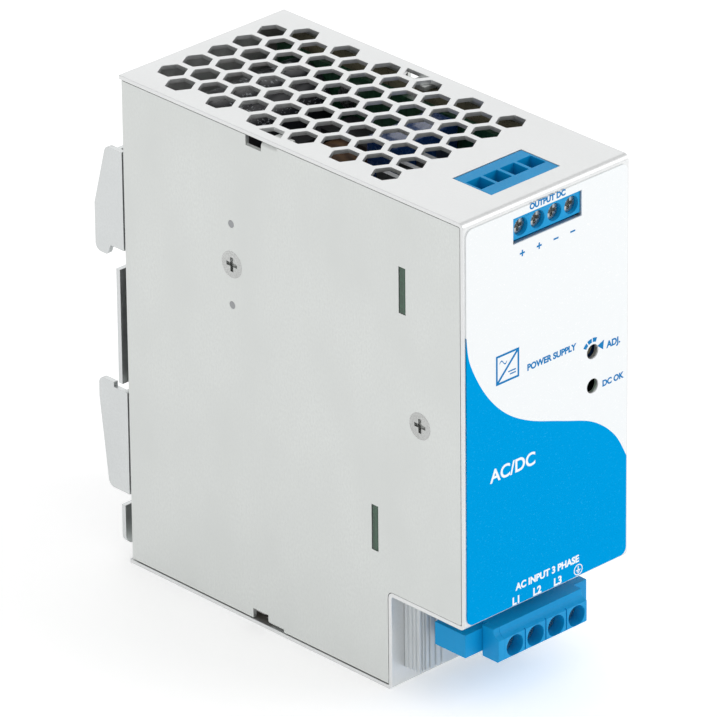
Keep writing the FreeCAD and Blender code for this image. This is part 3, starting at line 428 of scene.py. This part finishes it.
# a dashed arc with an arrow head round the adjusting hole
DIAL_IN, DIAL_OUT, DASH = 2.3, 3.3, 24
dial = []
for start in range(150, 61, -30):
    dial.append(arc(KNOB_X, KNOB_Z, DIAL_IN, start, start - DASH)
                + arc(KNOB_X, KNOB_Z, DIAL_OUT, start - DASH, start))
tip = math.radians(22)
ahead = Vector((math.cos(tip), math.sin(tip)))
across = Vector((math.sin(tip), -math.cos(tip)))
middle = Vector((KNOB_X, KNOB_Z)) + ahead * 2.75
dial.append([tuple(middle + ahead * 1.1 - across * 0.3), tuple(middle - ahead * 1.1 - across * 0.3),
             tuple(middle + across * 1.7)])
print_on("mark_dial", dial, INK_BLUE)


# ---------------------------------------------------------------- latch spring
spring_low, spring_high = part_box("latch_spring")
WIRE = 0.28 * MM
TURNS = 8


def make_spring():
    """A coil of round wire that fills the box of the CAD spring."""
    centre = (spring_low + spring_high) / 2
    radius = (spring_high.x - spring_low.x) / 2 - WIRE
    height = spring_high.z - spring_low.z - 2 * WIRE
    steps = TURNS * 24
    curve = bpy.data.curves.new("spring_line", "CURVE")
    curve.dimensions = "3D"
    curve.bevel_depth = WIRE
    curve.bevel_resolution = 2
    curve.use_fill_caps = True
    spline = curve.splines.new("POLY")
    spline.points.add(steps)
    for k, point in enumerate(spline.points):
        turn = math.tau * TURNS * k / steps
        point.co = (centre.x + radius * math.cos(turn), centre.y + radius * math.sin(turn),
                    spring_low.z + WIRE + height * k / steps, 1)
    line = bpy.data.objects.new("spring_line", curve)
    bpy.context.scene.collection.objects.link(line)
    mesh = bpy.data.meshes.new_from_object(line)
    bpy.data.objects.remove(line)
    mesh.polygons.foreach_set("use_smooth", [True] * len(mesh.polygons))
    return mesh


spring = add("latch_spring_coil", make_spring(), slot="spring_wire", material=MATERIALS["spring_wire"],
             replaces=["latch_spring"])
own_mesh(spring)


# ---------------------------------------------------------------- floor, light and camera
def make_floor():
    """A pale sheet, faintly lit from within so that shadows stay soft."""
    mesh = bpy.data.meshes.new("floor")
    half = 4.0
    corners = [(-half, -half, 0), (half, -half, 0), (half, half, 0), (-half, half, 0)]
    mesh.from_pydata(corners, [], [(0, 1, 2, 3)])
    made = Shader("floor_paper", Roughness=0.9, Emission_Color=(1, 1, 1, 1), Emission_Strength=0.3)
    made.colour(made.blend(made.remap(made.noise(0.3), 0, 1), (0.96, 0.96, 0.96), (0.98, 0.98, 0.98)))
    mesh.materials.append(made.material)
    floor = bpy.data.objects.new("floor", mesh)
    bpy.context.scene.collection.objects.link(floor)


def add_light(name, place, aim, size, power):
    """A round softbox aimed at a point."""
    data = bpy.data.lights.new(name, "AREA")
    data.shape = "DISK"
    data.size = size
    data.energy = power
    lamp = bpy.data.objects.new(name, data)
    bpy.context.scene.collection.objects.link(lamp)
    lamp.location = place
    lamp.rotation_euler = (Vector(aim) - Vector(place)).to_track_quat("-Z", "Y").to_euler()


make_floor()
centre = (cad_low + cad_high) / 2
add_light("key", (0.55, -0.9, 0.75), centre, 0.7, 3.5)
add_light("roof_fill", (0.75, 0.85, 0.75), centre, 0.9, 1.1)
world = bpy.data.worlds.new("studio")
bpy.context.scene.world = world
world.use_nodes = True
world.node_tree.nodes["Background"].inputs["Color"].default_value = (1, 1, 1, 1)
world.node_tree.nodes["Background"].inputs["Strength"].default_value = 0.74
bpy.context.scene.view_settings.view_transform = "Standard"

AZIMUTH, ELEVATION, ROLL = math.radians(43.57), math.radians(26.45), math.radians(-0.6)
DISTANCE, LENS = 1.885, 428.7
AIM_HEIGHT = 60 * MM
forward = Vector((math.sin(AZIMUTH) * math.cos(ELEVATION), math.cos(AZIMUTH) * math.cos(ELEVATION),
                  -math.sin(ELEVATION)))
camera = bpy.data.objects.new("camera", bpy.data.cameras.new("camera"))
bpy.context.scene.collection.objects.link(camera)
camera.data.sensor_width = 36
camera.data.lens = LENS
camera.data.clip_start = 0.1
camera.data.clip_end = 20
aim = Vector((centre.x, centre.y, AIM_HEIGHT))
camera.rotation_mode = "QUATERNION"
camera.rotation_quaternion = forward.to_track_quat("-Z", "Y") @ Matrix.Rotation(ROLL, 3, "Z").to_quaternion()
camera.location = aim - forward * DISTANCE
bpy.context.scene.camera = camera
